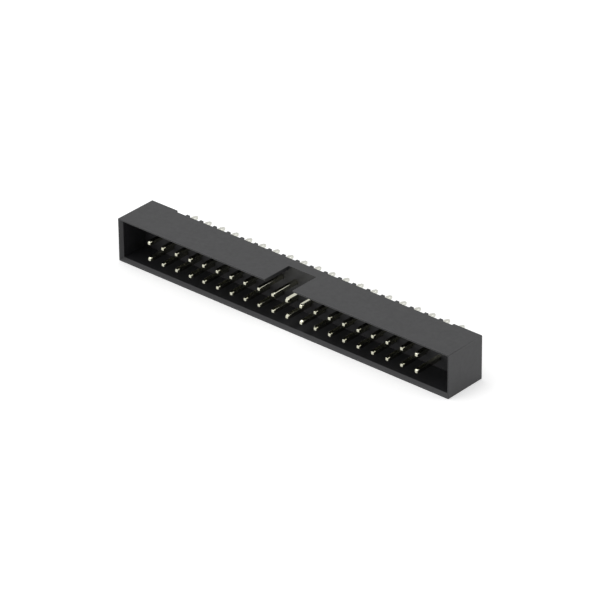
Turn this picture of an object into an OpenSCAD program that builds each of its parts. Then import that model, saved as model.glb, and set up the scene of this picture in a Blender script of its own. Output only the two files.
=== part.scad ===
// Straight box header for a flat ribbon cable socket: two rows of square contact
// pins stand in a moulded shroud that is open at its mating mouth.
//
// The header lies on its plain long wall with the keying notch uppermost. X runs
// along the rows of pins, +Y points out of the mouth's far side to the circuit
// board, and +Z points to the notch. The origin is the middle of the pin field on
// the plane where the header sits on its board. All sizes are in millimetres.

/* [Pin field] */
// Pins in each of the two rows
columns = 20; // [3:1:29]
// Distance between neighbouring pins, along a row and from row to row
pitch = 2.0; // [1.8:0.02:2.54]

/* [Contact pins] */
// Side of the square contact wire
pin_side = 0.5; // [0.4:0.01:0.64]
// Side of the small square flat that ends each taper
tip_side = 0.32; // [0.1:0.02:0.36]
// Length of the taper at the mating end
tip_taper = 0.25; // [0.15:0.05:1.2]
// Length of the taper at the solder end
tail_taper = 0.5; // [0.15:0.05:1.2]
// How far the mating tips stay below the shroud's rim
tip_recess = 0.1; // [0:0.05:0.8]
// Solder tail beyond the board seating plane
tail_length = 2.5; // [1.5:0.1:4]

/* [Shroud] */
// Thickness of the four walls
wall = 0.45; // [0.4:0.05:1.2]
// Depth of the cavity from the rim to its floor
cavity_depth = 3.9; // [2.5:0.1:8]
// Thickness of the floor that holds the pins
floor_thickness = 1.35; // [0.8:0.05:3]
// Room from the centre line of a row to the long wall beside it
side_room = 1.2; // [0.9:0.05:2]
// Room from the last pin's centre to the end wall
end_room = 4.05; // [1.5:0.05:8]
// Radius of the outer edges that run from the rim to the board
edge_radius = 0.1; // [0.05:0.05:0.6]

/* [Lead-in at the rim] */
// How far the sloped lead-in cuts into the thickness of a wall
leadin_width = 0.3; // [0.1:0.01:0.36]
// How deep the lead-in reaches below the rim
leadin_depth = 0.35; // [0.1:0.05:1]

/* [Keying notch] */
// Width of the notch in the upper long wall
notch_width = 3.9; // [1:0.1:5]
// Depth of the notch from the rim
notch_depth = 3.9; // [1:0.1:8]

/* [Board side] */
// Height of the ribs and end pads that lift the floor off the board
standoff = 0.3; // [0.1:0.05:0.8]
// Width of the rib between two neighbouring columns of pins
rib_width = 0.42; // [0.2:0.02:0.8]
// Clear distance from the last pin's centre to the end pad
pad_distance = 0.65; // [0.45:0.05:1.2]

/* [Fits] */
// Gap on each side of a pin in its hole through the floor
pin_clearance = 0.01; // [0.005:0.005:0.05]

/* [Hidden] */
$fn = 48;
rows = 2;
// How far a cutting tool runs past the face that it opens
cut = 1;

// The pin field, measured between the centres of its outermost pins
field_length = (columns - 1) * pitch;
field_width = (rows - 1) * pitch;

// The cavity and the shroud round it
cavity_length = field_length + 2 * end_room;
cavity_width = field_width + 2 * side_room;
body_length = cavity_length + 2 * wall;
body_width = cavity_width + 2 * wall;

// Planes along Y, from the board seat at 0 down to the rim
underside_y = -standoff;
floor_y = underside_y - floor_thickness;
rim_y = floor_y - cavity_depth;
tip_y = rim_y + tip_recess;

// Centre of a pin: column 0 is at the -X end, row 0 is next to the notch
function column_x(column) = (column - (columns - 1) / 2) * pitch;
function row_z(row) = ((rows - 1) / 2 - row) * pitch;

// Pins are numbered across the two rows and then along the header
function pin_number(column, row) = rows * column + row + 1;
function pin_name(column, row) =
    str("pin_", pin_number(column, row) < 10 ? "0" : "", pin_number(column, row));

// An outline drawn in X and Z, run along Y from one plane to another
module along_y(from_y, to_y) {
    translate([0, to_y, 0])
        rotate([90, 0, 0])
            linear_extrude(to_y - from_y)
                children();
}

// An outline drawn in X and Y, run along Z about the middle plane
module across_z(height) {
    linear_extrude(height, center = true)
        children();
}

// An outline drawn in Y and Z, run along X about the middle plane
module across_x(length) {
    rotate([90, 0, 90])
        linear_extrude(length, center = true)
            children();
}

// Rectangle with rounded corners, centred on the origin
module rounded_rectangle(length, width, radius) {
    square([length - 2 * radius, width], center = true);
    square([length, width - 2 * radius], center = true);
    for (side = [-1, 1], end = [-1, 1])
        translate([end * (length / 2 - radius), side * (width / 2 - radius)])
            circle(radius);
}

// One half of a symmetrical outline whose width changes along Y, as a list of
// [y, half width] pairs, closed by its own mirror image
function mirrored_outline(half) =
    concat([for (p = half) [p[1], p[0]]],
           [for (i = [len(half) - 1 : -1 : 0]) [-half[i][1], half[i][0]]]);

// The same outline with Y as its first coordinate
function swapped(points) = [for (p = points) [p[1], p[0]]];

// Solid block of the shroud, with its standoffs on the board side
module shroud_block() {
    along_y(rim_y, underside_y)
        rounded_rectangle(body_length, body_width, edge_radius);
    end_pads();
    standoff_ribs();
}

// Full-width pad under each end of the shroud
module end_pads() {
    pad_start = field_length / 2 + pad_distance;
    along_y(underside_y - cut / 2, 0)
        difference() {
            rounded_rectangle(body_length, body_width, edge_radius);
            square([2 * pad_start, body_width + cut], center = true);
        }
}

// Ribs across the shroud, one between each pair of neighbouring columns
module standoff_ribs() {
    for (column = [0 : columns - 2])
        translate([(column_x(column) + column_x(column + 1)) / 2, 0, 0])
            along_y(underside_y - cut / 2, 0)
                square([rib_width, body_width], center = true);
}

// Space inside the walls, open at the rim
module cavity() {
    along_y(rim_y - cut, floor_y)
        square([cavity_length, cavity_width], center = true);
}

// Mitred lead-in: two crossed wedges, one for each pair of walls
module lead_in() {
    spread = leadin_width / leadin_depth;
    function wedge(width) = mirrored_outline([
        [rim_y - cut, width / 2 + leadin_width + cut * spread],
        [rim_y + leadin_depth, width / 2]
    ]);
    intersection() {
        across_z(body_width + 2 * cut)
            polygon(wedge(cavity_length));
        across_x(body_length + 2 * cut)
            polygon(swapped(wedge(cavity_width)));
    }
}

// Keying notch, cut through the upper long wall only
module keying_notch() {
    translate([-notch_width / 2, rim_y - cut, 0])
        cube([notch_width, notch_depth + cut, body_width / 2 + cut]);
}

// Square holes through the floor, one for each pin
module pin_holes() {
    hole_side = pin_side + 2 * pin_clearance;
    for (column = [0 : columns - 1], row = [0 : rows - 1])
        translate([column_x(column), 0, row_z(row)])
            along_y(floor_y - cut, cut)
                square(hole_side, center = true);
}

module housing() {
    color("#3a3b3d")
        difference() {
            shroud_block();
            cavity();
            lead_in();
            keying_notch();
            pin_holes();
        }
}

// One contact pin on the Y axis: square wire, tapered on all four sides at both
// ends. Two crossed profiles make the taper, one seen from +Z and one from +X.
module contact_pin() {
    profile = mirrored_outline([
        [tip_y, tip_side / 2],
        [tip_y + tip_taper, pin_side / 2],
        [tail_length - tail_taper, pin_side / 2],
        [tail_length, tip_side / 2]
    ]);
    intersection() {
        across_z(pin_side)
            polygon(profile);
        across_x(pin_side)
            polygon(swapped(profile));
    }
}

module pin(column, row) {
    color("#d8c48a")
        translate([column_x(column), 0, row_z(row)])
            contact_pin();
}

housing();
for (column = [0 : columns - 1], row = [0 : rows - 1])
    pin(column, row);
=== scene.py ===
# %% [markdown]
# # A box header for flat ribbon cable
#
# The object is a board connector: a black moulded shroud with two rows of square contact
# pins, and a keying notch in one long wall. Its solids come from the CAD model and are
# already exact, so this script doesn't build the header again. It gives every solid the
# soft edges and the surface of a real one, and sets it on a white table in soft light.

import math

import bmesh
import bpy
from mathutils import Matrix, Vector


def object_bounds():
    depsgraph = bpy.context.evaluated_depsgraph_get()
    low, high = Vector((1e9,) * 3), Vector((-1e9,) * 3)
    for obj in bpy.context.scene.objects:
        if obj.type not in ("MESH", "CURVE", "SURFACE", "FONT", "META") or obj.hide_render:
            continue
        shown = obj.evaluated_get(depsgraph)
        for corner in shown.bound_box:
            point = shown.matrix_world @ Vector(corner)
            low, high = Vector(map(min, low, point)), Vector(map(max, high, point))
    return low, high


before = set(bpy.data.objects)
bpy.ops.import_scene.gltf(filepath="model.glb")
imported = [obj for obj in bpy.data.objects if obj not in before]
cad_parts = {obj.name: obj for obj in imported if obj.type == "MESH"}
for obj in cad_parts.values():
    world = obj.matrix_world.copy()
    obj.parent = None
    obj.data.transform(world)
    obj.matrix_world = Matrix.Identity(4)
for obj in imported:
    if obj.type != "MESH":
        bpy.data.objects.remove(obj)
cad_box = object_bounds()
print("pieces in the frame:", len(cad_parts))

# %% [markdown]
# ## Units and pieces
#
# Blender counts in metres and this header is only a few millimetres high, so every small
# size below is written in millimetres and multiplied by `MM`. The place of a piece is
# always read from the frame, and never typed in. The pins are named `pin_01`, `pin_02`
# and so on, which lets a loop treat them all alike.

# %% Find the shroud and the pins
MM = 0.001
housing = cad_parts["housing"]
pins = [node for name, node in sorted(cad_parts.items()) if name.startswith("pin_")]
header_low, header_high = cad_box
header_centre = (header_low + header_high) / 2
print("pins:", len(pins))
print("size in mm:", [round(side / MM, 3) for side in header_high - header_low])

# %% [markdown]
# ## Camera
#
# A catalogue picture of a small part is taken from far away with a long lens, because
# distance keeps the long edges almost parallel. Setting the camera by two angles round the
# header is easier to follow than typing its place: the first turns round the header, the
# second looks down on it. A helper turns the angles into three directions, which are to
# the picture's right, up in the picture, and back towards the camera. A tiny roll tips
# the picture as a hand-held camera would.

# %% Point a long lens at the header
CAMERA_AZIMUTH = math.radians(41.19)
CAMERA_ELEVATION = math.radians(29.35)
CAMERA_ROLL = math.radians(-0.6)
CAMERA_DISTANCE = 475.7 * MM
CAMERA_LENS = 264.5
AIM_RIGHT, AIM_UP = -0.38 * MM, -0.81 * MM


def camera_directions(azimuth, elevation):
    """The directions right, up and back of a camera that looks down at an object."""
    back = Vector((math.sin(azimuth) * math.cos(elevation),
                   -math.cos(azimuth) * math.cos(elevation),
                   math.sin(elevation)))
    right = Vector((math.cos(azimuth), math.sin(azimuth), 0))
    return right, back.cross(right), back


right, up, back = camera_directions(CAMERA_AZIMUTH, CAMERA_ELEVATION)
aim = header_centre + right * AIM_RIGHT + up * AIM_UP
camera_data = bpy.data.cameras.new("catalogue_camera")
camera_data.lens = CAMERA_LENS
camera_data.clip_start, camera_data.clip_end = 10 * MM, 10
camera = bpy.data.objects.new("catalogue_camera", camera_data)
bpy.context.scene.collection.objects.link(camera)
turn = Matrix((right, up, back)).transposed() @ Matrix.Rotation(CAMERA_ROLL, 3, "Z")
camera.matrix_world = Matrix.Translation(aim + back * CAMERA_DISTANCE) @ turn.to_4x4()
bpy.context.scene.camera = camera
print("camera at, in mm:", [round(v / MM, 1) for v in camera.matrix_world.translation])

# %% [markdown]
# ## Who sees the white surround
#
# A white surround does two jobs. It lights the header, which should stay at a plain
# level, and it is seen, which should be clean white. The `Light Path` node tells the two
# apart: a ray that comes straight from the camera, or by way of a mirror-like or clear
# surface, *sees* the surround, and any other ray only gathers light from it. The helper
# adds these three kinds of ray together into one switch, used by the table and the world.

# %% Make the switch for rays that see the surround


def sees_surround(tree):
    """A socket that is 1 for camera, glossy and transmission rays, and 0 for the rest."""
    path = tree.nodes.new("ShaderNodeLightPath")
    either = path.outputs["Is Camera Ray"]
    for kind in ("Is Glossy Ray", "Is Transmission Ray"):
        larger = tree.nodes.new("ShaderNodeMath")
        larger.operation = "MAXIMUM"
        tree.links.new(either, larger.inputs[0])
        tree.links.new(path.outputs[kind], larger.inputs[1])
        either = larger.outputs[0]
    return either


# %% [markdown]
# ## White table
#
# The header lies on its plain long wall on a matt white table. Paint alone would render
# as a light grey and hide the clean outline, so the table also glows a little for the
# rays that see it. The paint still takes the header's soft shadow. The table lies a hair's
# breadth under the header, because two faces in one plane would flicker.

# %% Mix the table's paint
TABLE_PAINT = 0.80
TABLE_GLOW = 0.40


def table_paint():
    material = bpy.data.materials.new("white_table_paint")
    material.use_nodes = True
    tree = material.node_tree
    tree.nodes.clear()
    output = tree.nodes.new("ShaderNodeOutputMaterial")
    paint = tree.nodes.new("ShaderNodeBsdfDiffuse")
    paint.inputs["Color"].default_value = (TABLE_PAINT, TABLE_PAINT, TABLE_PAINT, 1)
    glow = tree.nodes.new("ShaderNodeEmission")
    tree.links.new(sees_surround(tree), glow.inputs["Color"])
    glow.inputs["Strength"].default_value = TABLE_GLOW
    both = tree.nodes.new("ShaderNodeAddShader")
    tree.links.new(paint.outputs[0], both.inputs[0])
    tree.links.new(glow.outputs[0], both.inputs[1])
    tree.links.new(both.outputs[0], output.inputs["Surface"])
    return material


white_paint = table_paint()
print("mixed:", white_paint.name)

# %% Lay the table under the header
TABLE_SIZE = 1.2
TABLE_GAP = 0.005 * MM


def lay_table(height):
    """A flat square under the header, which isn't a part of the object."""
    mesh = bpy.data.meshes.new("table_top")
    shape = bmesh.new()
    bmesh.ops.create_grid(shape, x_segments=1, y_segments=1, size=TABLE_SIZE / 2)
    bmesh.ops.translate(shape, verts=shape.verts, vec=(0, 0, height))
    shape.to_mesh(mesh)
    shape.free()
    mesh.materials.append(white_paint)
    table = bpy.data.objects.new("table_top", mesh)
    bpy.context.scene.collection.objects.link(table)
    return table


table = lay_table(header_low.z - TABLE_GAP)
print(table.name, "lies at, in mm:", round((header_low.z - TABLE_GAP) / MM, 3))

# %% [markdown]
# ## Light
#
# Black plastic shows its shape almost only by what it mirrors, so a bare lamp would leave
# hard white streaks on it and the rest unreadable. A studio puts such a part in a light
# tent, and the world stands in for the tent here: one even white, seen all round.
# Three broad soft lamps add a little direction, so that neighbouring faces don't merge.
# One hangs overhead, one faces the mouth, and one stands low behind the nearer end.

# %% Hang the light tent
TENT_FILL = 0.60
TENT_SEEN = 1.0


def light_tent():
    world = bpy.data.worlds.new("light_tent")
    world.use_nodes = True
    tree = world.node_tree
    tree.nodes.clear()
    output = tree.nodes.new("ShaderNodeOutputWorld")
    gathered = tree.nodes.new("ShaderNodeBackground")
    gathered.inputs["Strength"].default_value = TENT_FILL
    seen = tree.nodes.new("ShaderNodeBackground")
    seen.inputs["Strength"].default_value = TENT_SEEN
    for background in (gathered, seen):
        background.inputs["Color"].default_value = (1, 1, 1, 1)
    choice = tree.nodes.new("ShaderNodeMixShader")
    tree.links.new(sees_surround(tree), choice.inputs[0])
    tree.links.new(gathered.outputs[0], choice.inputs[1])
    tree.links.new(seen.outputs[0], choice.inputs[2])
    tree.links.new(choice.outputs[0], output.inputs["Surface"])
    return world


bpy.context.scene.world = light_tent()
print("tent gives", TENT_FILL, "and is seen as", TENT_SEEN)

# %% Hang three soft lamps


def soft_lamp(name, direction, distance, size, power):
    """A square lamp that faces the header from a direction, with its power in watts."""
    data = bpy.data.lights.new(name, "AREA")
    data.size = size
    data.energy = power
    lamp = bpy.data.objects.new(name, data)
    bpy.context.scene.collection.objects.link(lamp)
    towards_lamp = Vector(direction).normalized()
    lamp.location = header_centre + towards_lamp * distance
    lamp.rotation_mode = "QUATERNION"
    lamp.rotation_quaternion = towards_lamp.to_track_quat("Z", "Y")
    return lamp


lamps = [soft_lamp("overhead_lamp", (-0.3, -0.1, 1.0), distance=0.55, size=0.40, power=0.9),
         soft_lamp("mouth_lamp", (-0.45, -0.9, 0.15), distance=0.60, size=0.45, power=1.7),
         soft_lamp("end_lamp", (0.75, 0.6, 0.12), distance=0.60, size=0.45, power=1.3)]
print("lamps:", [lamp.name for lamp in lamps])

# %% [markdown]
# ## Shader helpers
#
# Both finishes are procedural: their patterns are computed from Object coordinates, which
# here are real metres on the part, so that a grain stays the same size on every piece.
# Small helpers keep the node code readable. Two of them make the patterns: one gives
# noise of a named grain size, and one maps a range of values onto another. A noise value
# stays mostly between a quarter and three quarters, so `NOISE_RANGE` is what gets mapped.
# Two more put the patterns to use: one blends two colours, and one gives a fine relief.

# %% Write the noise helpers
NOISE_RANGE = (0.25, 0.75)


def grain(tree, size, stretch=(1, 1, 1)):
    """Noise whose spots are about `size` across, times `stretch` along X, Y and Z."""
    place = tree.nodes.new("ShaderNodeTexCoord")
    mapping = tree.nodes.new("ShaderNodeMapping")
    mapping.inputs["Scale"].default_value = [1 / (size * s) for s in stretch]
    noise = tree.nodes.new("ShaderNodeTexNoise")
    noise.inputs["Scale"].default_value = 1
    tree.links.new(place.outputs["Object"], mapping.inputs["Vector"])
    tree.links.new(mapping.outputs["Vector"], noise.inputs["Vector"])
    return noise.outputs["Fac"]


def remap(tree, value, old, new):
    """Maps the range old of a value onto the range new, and stops at its ends."""
    ramp = tree.nodes.new("ShaderNodeMapRange")
    ramp.inputs["From Min"].default_value, ramp.inputs["From Max"].default_value = old
    ramp.inputs["To Min"].default_value, ramp.inputs["To Max"].default_value = new
    tree.links.new(value, ramp.inputs["Value"])
    return ramp.outputs["Result"]


# %% Write the colour and relief helpers


def blend(tree, factor, colours):
    """Goes from the first colour to the second; each is a constant or a socket."""
    mix = tree.nodes.new("ShaderNodeMix")
    mix.data_type = "RGBA"
    tree.links.new(factor, mix.inputs["Factor"])
    for name, colour in zip("AB", colours):
        if isinstance(colour, tuple):
            mix.inputs[name].default_value = colour
        else:
            tree.links.new(colour, mix.inputs[name])
    return mix.outputs["Result"]


def fine_bump(tree, height, strength, depth):
    """A normal that is tilted by a height pattern of a real depth."""
    bump = tree.nodes.new("ShaderNodeBump")
    bump.inputs["Strength"].default_value = strength
    bump.inputs["Distance"].default_value = depth
    tree.links.new(height, bump.inputs["Height"])
    return bump.outputs["Normal"]


# %% [markdown]
# ## Black moulded shroud
#
# The shroud is moulded in a black, glass-filled plastic. The mould is spark-eroded, which
# leaves a very fine matt grain. Flow of the melt adds faint cloudy patches. Almost all
# its brightness is a dull mirror image of the white surround, so the colour itself is
# nearly black, and the roughness decides how grey the faces look. The grain goes into the
# bump, the clouds go into the colour, and a smaller haze goes into the roughness.

# %% Mix the plastic
PLASTIC_DARK = (0.0085, 0.0086, 0.0098, 1)
PLASTIC_LIGHT = (0.0120, 0.0121, 0.0138, 1)
CLOUD_SIZE, HAZE_SIZE, EROSION_SIZE = 1.6 * MM, 0.5 * MM, 0.05 * MM
HAZE_ROUGHNESS = (0.42, 0.50)
EROSION_DEPTH = 0.004 * MM


def shroud_plastic():
    material = bpy.data.materials.new("black_glass_filled_plastic")
    material.use_nodes = True
    tree = material.node_tree
    clouds = remap(tree, grain(tree, CLOUD_SIZE), NOISE_RANGE, (0, 1))
    haze = remap(tree, grain(tree, HAZE_SIZE), NOISE_RANGE, HAZE_ROUGHNESS)
    eroded = fine_bump(tree, grain(tree, EROSION_SIZE), strength=0.35, depth=EROSION_DEPTH)
    shader = tree.nodes["Principled BSDF"]
    colour = blend(tree, clouds, (PLASTIC_DARK, PLASTIC_LIGHT))
    tree.links.new(colour, shader.inputs["Base Color"])
    tree.links.new(haze, shader.inputs["Roughness"])
    tree.links.new(eroded, shader.inputs["Normal"])
    return material


plastic = shroud_plastic()
print("mixed:", plastic.name)

# %% Give the shroud its plastic


def dress(piece, material):
    """Gives a CAD piece one material all over."""
    piece.data.materials.clear()
    piece.data.materials.append(material)


dress(housing, plastic)
print("the shroud wears:", [slot.name for slot in housing.data.materials])

# %% [markdown]
# ## Soft edges
#
# No moulded or stamped edge is perfectly sharp. A real edge has a tiny radius, and that
# radius is what catches a thin line of light. The CAD solids have sharp edges and arrive
# as loose triangles, so modifiers finish each one without touching its mesh. Weld joins
# the triangles' corners, Decimate in its planar mode merges the triangles of each flat
# face again, and Bevel then rounds the edges where two faces meet at a clear angle.
# Working on a copy in edit mode would do the same, but modifiers keep the CAD mesh as it
# is and can be changed later.

# %% Round the shroud's edges
SHROUD_EDGE = 0.035 * MM
WELD_REACH = 0.0005 * MM
FLAT_ANGLE = math.radians(1)


def whole_faces(piece):
    """Joins the loose CAD triangles into whole flat faces."""
    weld = piece.modifiers.new("join_triangles", "WELD")
    weld.merge_threshold = WELD_REACH
    faces = piece.modifiers.new("whole_faces", "DECIMATE")
    faces.decimate_type = "DISSOLVE"
    faces.angle_limit = FLAT_ANGLE


def soft_edges(piece, name, width, segments, sharper_than):
    """Rounds every edge whose two faces meet at more than an angle in degrees."""
    bevel = piece.modifiers.new(name, "BEVEL")
    bevel.width = width
    bevel.segments = segments
    bevel.limit_method = "ANGLE"
    bevel.angle_limit = math.radians(sharper_than)
    bevel.harden_normals = True


whole_faces(housing)
soft_edges(housing, "moulded_edges", SHROUD_EDGE, segments=2, sharper_than=15)
print("shroud edges rounded to, in mm:", round(SHROUD_EDGE / MM, 3))

# %% [markdown]
# ## Plated contact pins
#
# The pins are cut from drawn square wire, which has rounded corners, and their ends are
# squeezed to a blunt taper. Such pins are plated twice: a thin flash of pale gold over
# nickel where the socket touches them, and grey tin where they are soldered. The change
# is hidden in the shroud's floor, and a point's place along Y picks its metal.
# Plating is smooth, so the sides mirror the dark cavity and almost vanish in it, while
# the blunt tips and the rounded corners near them mirror the white surround. Drawing
# leaves very fine lines along the wire, and a noise stretched along the pin stands for
# them.

# %% Read the place along a pin


def along_pin(tree):
    """The place of a point along Y, which is the length of a pin."""
    place = tree.nodes.new("ShaderNodeTexCoord")
    parts = tree.nodes.new("ShaderNodeSeparateXYZ")
    tree.links.new(place.outputs["Object"], parts.inputs["Vector"])
    return parts.outputs["Y"]


# %% Mix the plating
GOLD_PALE = (0.59, 0.59, 0.49, 1)
GOLD_WARM = (0.55, 0.54, 0.42, 1)
TIN = (0.58, 0.58, 0.53, 1)
PLATING_CHANGE = (-1.2 * MM, -0.8 * MM)
WARM_SPOTS, DRAW_LINES = 0.9 * MM, 0.03 * MM
ALONG_THE_PIN = (1, 30, 1)
POLISH_ROUGHNESS = (0.06, 0.12)
LINE_DEPTH = 0.001 * MM


def contact_plating():
    material = bpy.data.materials.new("gold_and_tin_plating")
    material.use_nodes = True
    tree = material.node_tree
    warmth = remap(tree, grain(tree, WARM_SPOTS), NOISE_RANGE, (0, 1))
    gold = blend(tree, warmth, (GOLD_PALE, GOLD_WARM))
    metal = blend(tree, remap(tree, along_pin(tree), PLATING_CHANGE, (0, 1)), (gold, TIN))
    draw_lines = grain(tree, DRAW_LINES, stretch=ALONG_THE_PIN)
    polish = remap(tree, draw_lines, NOISE_RANGE, POLISH_ROUGHNESS)
    drawn = fine_bump(tree, draw_lines, strength=0.15, depth=LINE_DEPTH)
    shader = tree.nodes["Principled BSDF"]
    shader.inputs["Metallic"].default_value = 1
    tree.links.new(metal, shader.inputs["Base Color"])
    tree.links.new(polish, shader.inputs["Roughness"])
    tree.links.new(drawn, shader.inputs["Normal"])
    return material


plating = contact_plating()
print("mixed:", plating.name)

# %% Finish the pins
WIRE_CORNER = 0.07 * MM
TIP_EDGE = 0.02 * MM

for pin in pins:
    dress(pin, plating)
    whole_faces(pin)
    soft_edges(pin, "wire_corners", WIRE_CORNER, segments=3, sharper_than=77)
    soft_edges(pin, "tip_edges", TIP_EDGE, segments=2, sharper_than=45)
print("pins plated:", len(pins))

# %% [markdown]
# ## Last line
#
# The last step sets the view transform to Standard.

# %% Set the view
bpy.context.scene.view_settings.view_transform = "Standard"
